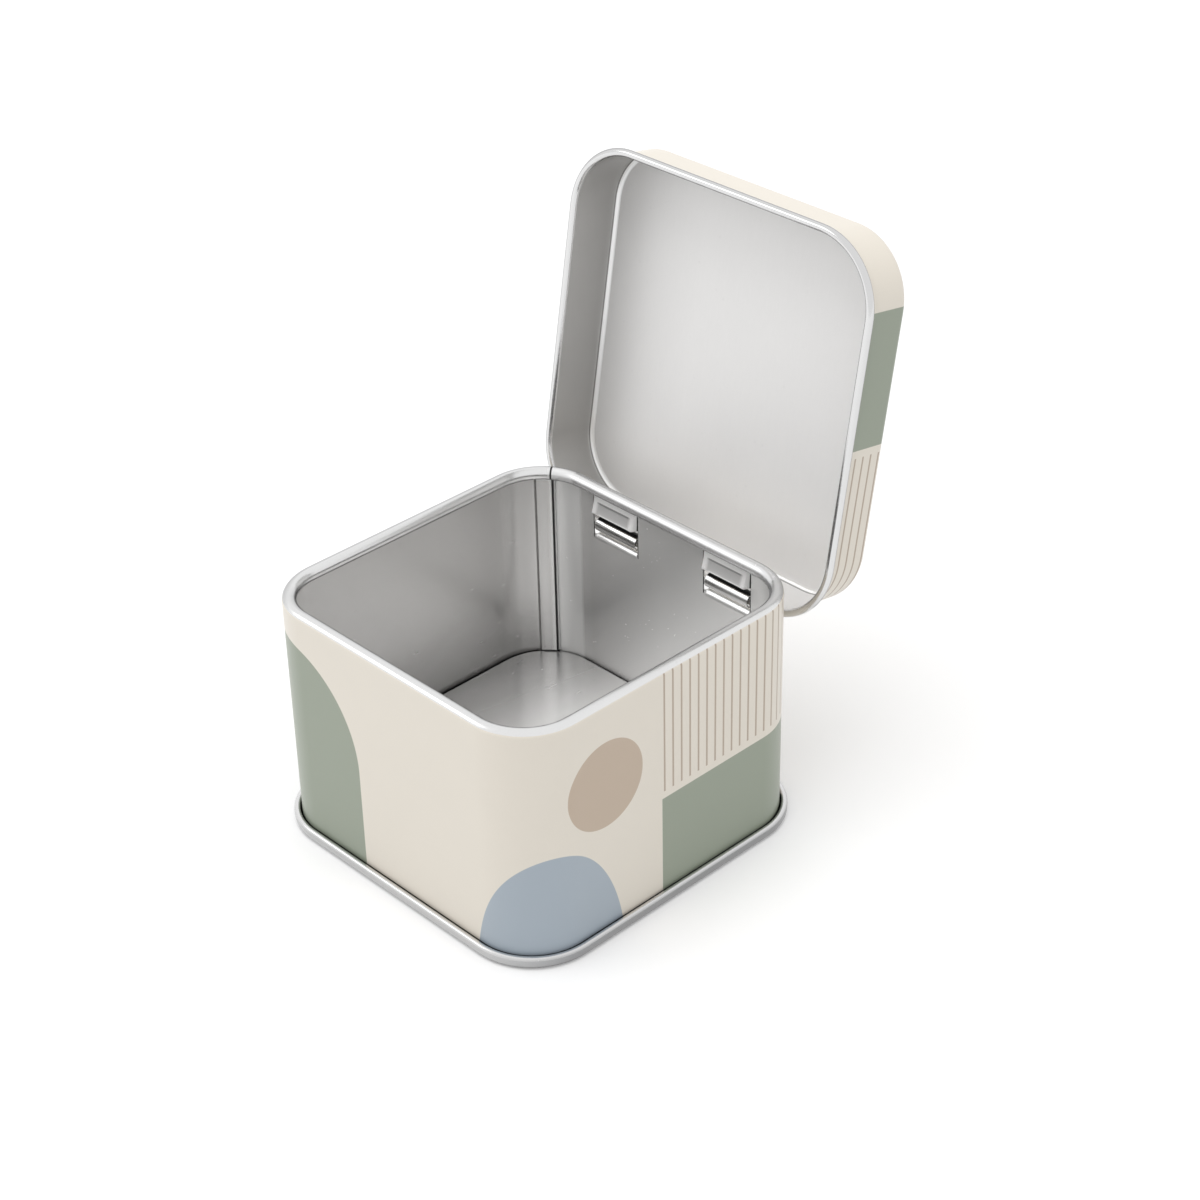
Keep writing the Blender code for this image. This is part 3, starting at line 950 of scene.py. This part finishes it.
def seamFolds(rampStart, outerFold, innerFold):
    # The two hooks of the side seam, as turn and depth: the sheet from the back folds in under
    # itself, and the sheet from the left ramps in and folds back into that hook.
    middle = (outerFold + innerFold) / 2
    pitch = sideSeam["pitch"]
    bend = pitch / tin["cornerRadius"]
    angles = evenly(0, math.pi, sideSeam["foldSteps"])[1:]
    fromBack = [(outerFold - bend * math.sin(a), pitch * (1 - math.cos(a))) for a in angles]
    fromBack += [(turn, 2 * pitch) for turn in (middle, innerFold)]
    rampEnd = outerFold - (layer + sideSeam["runOut"]) / tin["cornerRadius"]
    fromLeft = [
        (rampStart + (rampEnd - rampStart) * share, 3 * pitch * smooth(share))
        for share in evenly(0, 1, sideSeam["rampSteps"])[1:]
    ]
    fromLeft += [(turn, 3 * pitch) for turn in evenly(rampEnd, innerFold, sideSeam["innerSteps"])[1:]]
    fromLeft += [(innerFold + bend * math.sin(a), pitch * (2 + math.cos(a))) for a in angles]
    fromLeft += [(turn, pitch) for turn in (middle, outerFold)]
    return fromBack, fromLeft


def buildWall():
    mid = -tin["sheet"] / 2
    rimMid = wall["rimRadius"] - tin["sheet"] / 2
    roll = arc(-wall["rimRadius"], rimTop - wall["rimRadius"], rimMid, wall["rimRoll"], 0, wall["rimSteps"])
    rows, slots = hingeRows()
    seamBottom = wall["floorHeight"] + tin["sheet"] + tin["lidGap"]
    hook = arc(mid + layer, 2 * layer + tin["sheet"] / 2, layer, math.pi, 2 * math.pi, wall["hookSteps"])
    hook.append((mid + 2 * layer, wall["seamHeight"] - layer))
    section = roll + [(mid, row[0]) for row in rows] + [(mid, seamBottom)] + hook
    slotRows = [len(roll) + row for row in slots]
    printedFrom = len(roll) - round(wall["rimSteps"] * wall["printEdge"] / wall["rimRoll"]) - 1
    seamRows = range(len(roll), len(roll) + len(rows))

    offsets = hingeColumns()
    cuts = [centre + offset for centre in hingeCentres for offset in offsets]
    turns, rampStart, outerFold, innerFold = seamTurns()
    stations = planStations(cuts, turns)
    cornerStart = len(stations) - len(turns)
    rampColumn = cornerStart + turns.index(rampStart)
    bm = newSheet()
    rings = [[addPoint(bm, station, *point) for station in stations] for point in section]
    for ring, row in zip(rings[len(roll):], rows):
        for column, offset in enumerate(offsets * len(hingeCentres)):
            ring[column].co.y += pressedBy(offset, *row)

    def keep(row, column):
        inSlot = row in slotRows and column < len(cuts) and column % len(offsets) != len(offsets) - 1
        inSlit = row in seamRows and column == rampColumn
        return not inSlot and not inSlit

    sweepRings(bm, rings, keep, lambda row, column: plain if row < printedFrom else inked)
    cornerX, cornerY, facing, way = stations[cornerStart]
    fromBack, fromLeft = seamFolds(rampStart, outerFold, innerFold)
    seamSpan = range(seamRows.start, seamRows.stop + 1)
    for places, root in ((fromBack, rampColumn + 1), (fromLeft, rampColumn)):
        previous = [rings[row][root] for row in seamSpan]
        for turn, depth in places:
            station = (cornerX, cornerY, facing - turn, way - turn * tin["cornerRadius"])
            column = [addPoint(bm, station, mid - depth, section[row][1]) for row in seamSpan]
            for k in range(len(seamSpan) - 1):
                corners = (previous[k], column[k], column[k + 1], previous[k + 1])
                if places is fromBack:
                    corners = corners[::-1]
                addFace(bm, corners, inked)
            previous = column
    materials = (wallInk, wallTin, wallTin, cutEdge)
    return finishSheet(bm, "printed_wall", materials, 3, "box", "body_wall")


end = {
    "bendRadius": 0.0007,
    "seamSteps": 20,
    "hookSteps": 10,
    "bendSteps": 8,
}


def buildEnd():
    mid = tin["seamGap"] + tin["sheet"] / 2
    panelHeight = wall["floorHeight"] + tin["sheet"] / 2
    wallOffset = mid - 2 * layer
    bend = end["bendRadius"]
    section = [(mid, 2 * layer)]
    section += arc(
        mid + layer, wall["seamHeight"] - tin["sheet"] / 2 - layer, layer, math.pi, 0, end["hookSteps"]
    )
    section += arc(mid, 2 * layer + tin["sheet"] / 2, 2 * layer, 0, -math.pi, end["seamSteps"])
    section += arc(wallOffset - bend, panelHeight - bend, bend, 0, math.pi / 2, end["bendSteps"])
    stations = planStations([], evenly(0, math.pi / 2, tin["cornerSteps"]))
    bm = newSheet()
    rings = [[addPoint(bm, station, *point) for station in stations] for point in section]
    sweepRings(bm, rings, lambda row, column: True, lambda row, column: plain)
    addFace(bm, rings[-1], plain)
    materials = (endTin, endTin, endTin)
    return finishSheet(bm, "bottom_end_sheet", materials, 1, "box", "bottom_end")


lid = {
    "edgeRadius": 0.0015,
    "panelInset": 0.0006,
    "rimRadius": 0.00075,
    "rimRoll": math.radians(280),
    "edgeSteps": 9,
    "rimSteps": 34,
    "filletSteps": 6,
}


def tonguePoints():
    # A tongue's section from the skirt to its tip: a fillet, then the roll round the hinge line.
    fillet, radius = hinges["filletRadius"], hinges["tongueRadius"]
    inward = fillet - (lidSkirt - axisOffset)
    rise = math.sqrt((radius + fillet) ** 2 - inward ** 2)
    meet = math.atan2(rise, -inward)
    points = arc(lidSkirt - fillet, axisHeight + rise, fillet, 0, meet - math.pi, lid["filletSteps"])
    points += arc(axisOffset, axisHeight, radius, meet, 2 * math.pi, lid["rimSteps"] - lid["filletSteps"])[1:]
    return points


def buildLid():
    rimMid = lid["rimRadius"] - tin["sheet"] / 2
    edgeMid = lid["edgeRadius"] - tin["sheet"] / 2
    rimOffset = lidSkirt + rimMid
    # Open, the rim leans on the back wall, which sets how high its roll stands over the hinge line.
    aside = rimOffset - axisOffset
    lift = (tin["lidGap"] + lid["rimRadius"] - axisOffset - aside * math.cos(openTurn)) / math.sin(openTurn)
    section = [(lidSkirt - edgeMid - lid["panelInset"], lidHeight)]
    section += arc(lidSkirt - edgeMid, lidHeight - edgeMid, edgeMid, math.pi / 2, 0, lid["edgeSteps"])
    section.append((lidSkirt, axisHeight + hinges["rootRise"]))
    rootRow = len(section) - 1
    rim = arc(rimOffset, axisHeight + lift, rimMid, math.pi, math.pi + lid["rimRoll"], lid["rimSteps"])
    tongue = tonguePoints()

    cuts = []
    tongueHalf = hinges["tongueWidth"] / 2
    for centre in hingeCentres:
        for side in (-1, 1):
            cuts += [centre + side * tongueHalf, centre + side * (tongueHalf + hinges["notchWidth"])]
    stations = planStations(cuts, evenly(0, math.pi / 2, tin["cornerSteps"]))
    tongueColumns = (1, 2, 5, 6)
    notchColumns = (0, 2, 4, 6)  # from each of these to the next column is a notch
    bm = newSheet()
    rings = [[addPoint(bm, station, *point) for station in stations] for point in section]
    for rimPoint, tonguePoint in zip(rim, tongue):
        rings.append([
            addPoint(bm, station, *(tonguePoint if column in tongueColumns else rimPoint))
            for column, station in enumerate(stations)
        ])

    def keep(row, column):
        return row < rootRow or column not in notchColumns

    def surfaceOf(row, column):
        onTongue = row == rootRow and column in tongueColumns
        return beaded if row > rootRow or onTongue else inked

    sweepRings(bm, rings, keep, surfaceOf)
    addFace(bm, rings[0][::-1], inked)
    materials = (lidInk, lidTin, lidInk, tongueTin)
    return finishSheet(bm, "printed_lid", materials, 1, "lid", "lid", -openTurn, axis)


buildWall()
buildEnd()
buildLid()
print("sheets built")

# Studio: a pale floor, a white surround and soft lamps
studio = {
    "ambient": 0.80,
    "floorSize": 6.0,
    "floorDrop": 0.00002,
    "floorColour": (0.8, 0.8, 0.8, 1),
    "floorRough": 0.9,
    "floorGlow": (0.25, 1.0, 0.19, 0.45),  # two distances and the glow at each
    "white": (1, 1, 1, 1),
    "lamps": (
        # name, azimuth, elevation, distance, size, power, mirrored in the metal
        ("top", -20, 82, 1.0, 0.8, 4.4, False),
        ("key", -46, 34, 0.9, 0.45, 0.65, True),
    ),
    "aim": Vector((0, 0, 0.02)),
}


def seenDirectly(tree):
    # One where the camera, a mirror or glass looks, zero for the light that falls on the object.
    path = addNode(tree, "LightPath").outputs
    return highest(tree, path["Is Camera Ray"], path["Is Glossy Ray"], path["Is Transmission Ray"])


def buildFloor():
    bm = bmesh.new()
    bmesh.ops.create_grid(bm, x_segments=1, y_segments=1, size=studio["floorSize"] / 2)
    mesh = bpy.data.meshes.new("floor")
    bm.to_mesh(mesh)
    bm.free()
    floor = bpy.data.objects.new("floor", mesh)
    floor.location.z = tableZ - studio["floorDrop"]
    bpy.context.scene.collection.objects.link(floor)
    material, tree, shader = newMaterial("paper floor", studio["floorColour"])
    far = addNode(tree, "VectorMath", operation="LENGTH")
    feed(tree, far.inputs[0], objectPlace(tree))
    glow = span(tree, far.outputs["Value"], *studio["floorGlow"])
    feedAll(tree, shader, {
        "Base Color": studio["floorColour"],
        "Roughness": studio["floorRough"],
        "Specular IOR Level": 0.0,
        "Emission Color": studio["white"],
        "Emission Strength": product(tree, seenDirectly(tree), glow),
    })
    mesh.materials.append(material)


def buildSurround():
    world = bpy.data.worlds.new("white surround")
    bpy.context.scene.world = world
    world.use_nodes = True
    tree = world.node_tree
    tree.nodes.clear()
    strength = span(tree, seenDirectly(tree), 0.0, 1.0, studio["ambient"], 1.0)
    sockets = {"Color": studio["white"], "Strength": strength}
    background = feedAll(tree, addNode(tree, "Background"), sockets)
    output = addNode(tree, "OutputWorld")
    feed(tree, output.inputs["Surface"], background[0])


def directionTo(azimuth, elevation):
    # From the object towards a place seen at this azimuth and elevation; azimuth 0 is in front.
    a, e = math.radians(azimuth), math.radians(elevation)
    return Vector((math.sin(a) * math.cos(e), -math.cos(a) * math.cos(e), math.sin(e)))


def buildLamps():
    for name, azimuth, elevation, distance, size, power, mirrored in studio["lamps"]:
        lamp = bpy.data.lights.new(name, "AREA")
        lamp.shape = "DISK"
        lamp.size = size
        lamp.energy = power
        piece = bpy.data.objects.new(name, lamp)
        back = directionTo(azimuth, elevation)
        piece.location = studio["aim"] + back * distance
        piece.rotation_euler = back.to_track_quat("Z", "Y").to_euler()
        piece.visible_glossy = mirrored
        bpy.context.scene.collection.objects.link(piece)


camera = {
    "azimuth": 46.471,
    "elevation": 32.473,
    "roll": -1.254,
    "distance": 0.48785,
    "aim": Vector((-0.00692, 0.02300, 0.02628)),
    "lens": 78.22,
    "near": 0.01,
}


def buildCamera():
    data = bpy.data.cameras.new("camera")
    data.lens = camera["lens"]
    data.clip_start = camera["near"]
    piece = bpy.data.objects.new("camera", data)
    turn = Matrix.Rotation(math.radians(camera["azimuth"]), 4, "Z")
    tilt = Matrix.Rotation(math.radians(90 - camera["elevation"]), 4, "X")
    roll = Matrix.Rotation(math.radians(camera["roll"]), 4, "Z")
    back = directionTo(camera["azimuth"], camera["elevation"])
    stand = Matrix.Translation(camera["aim"] + back * camera["distance"])
    piece.matrix_world = stand @ turn @ tilt @ roll
    bpy.context.scene.collection.objects.link(piece)
    bpy.context.scene.camera = piece


buildFloor()
buildSurround()
buildLamps()
buildCamera()
bpy.context.scene.view_settings.view_transform = "Standard"
print("studio and camera set")
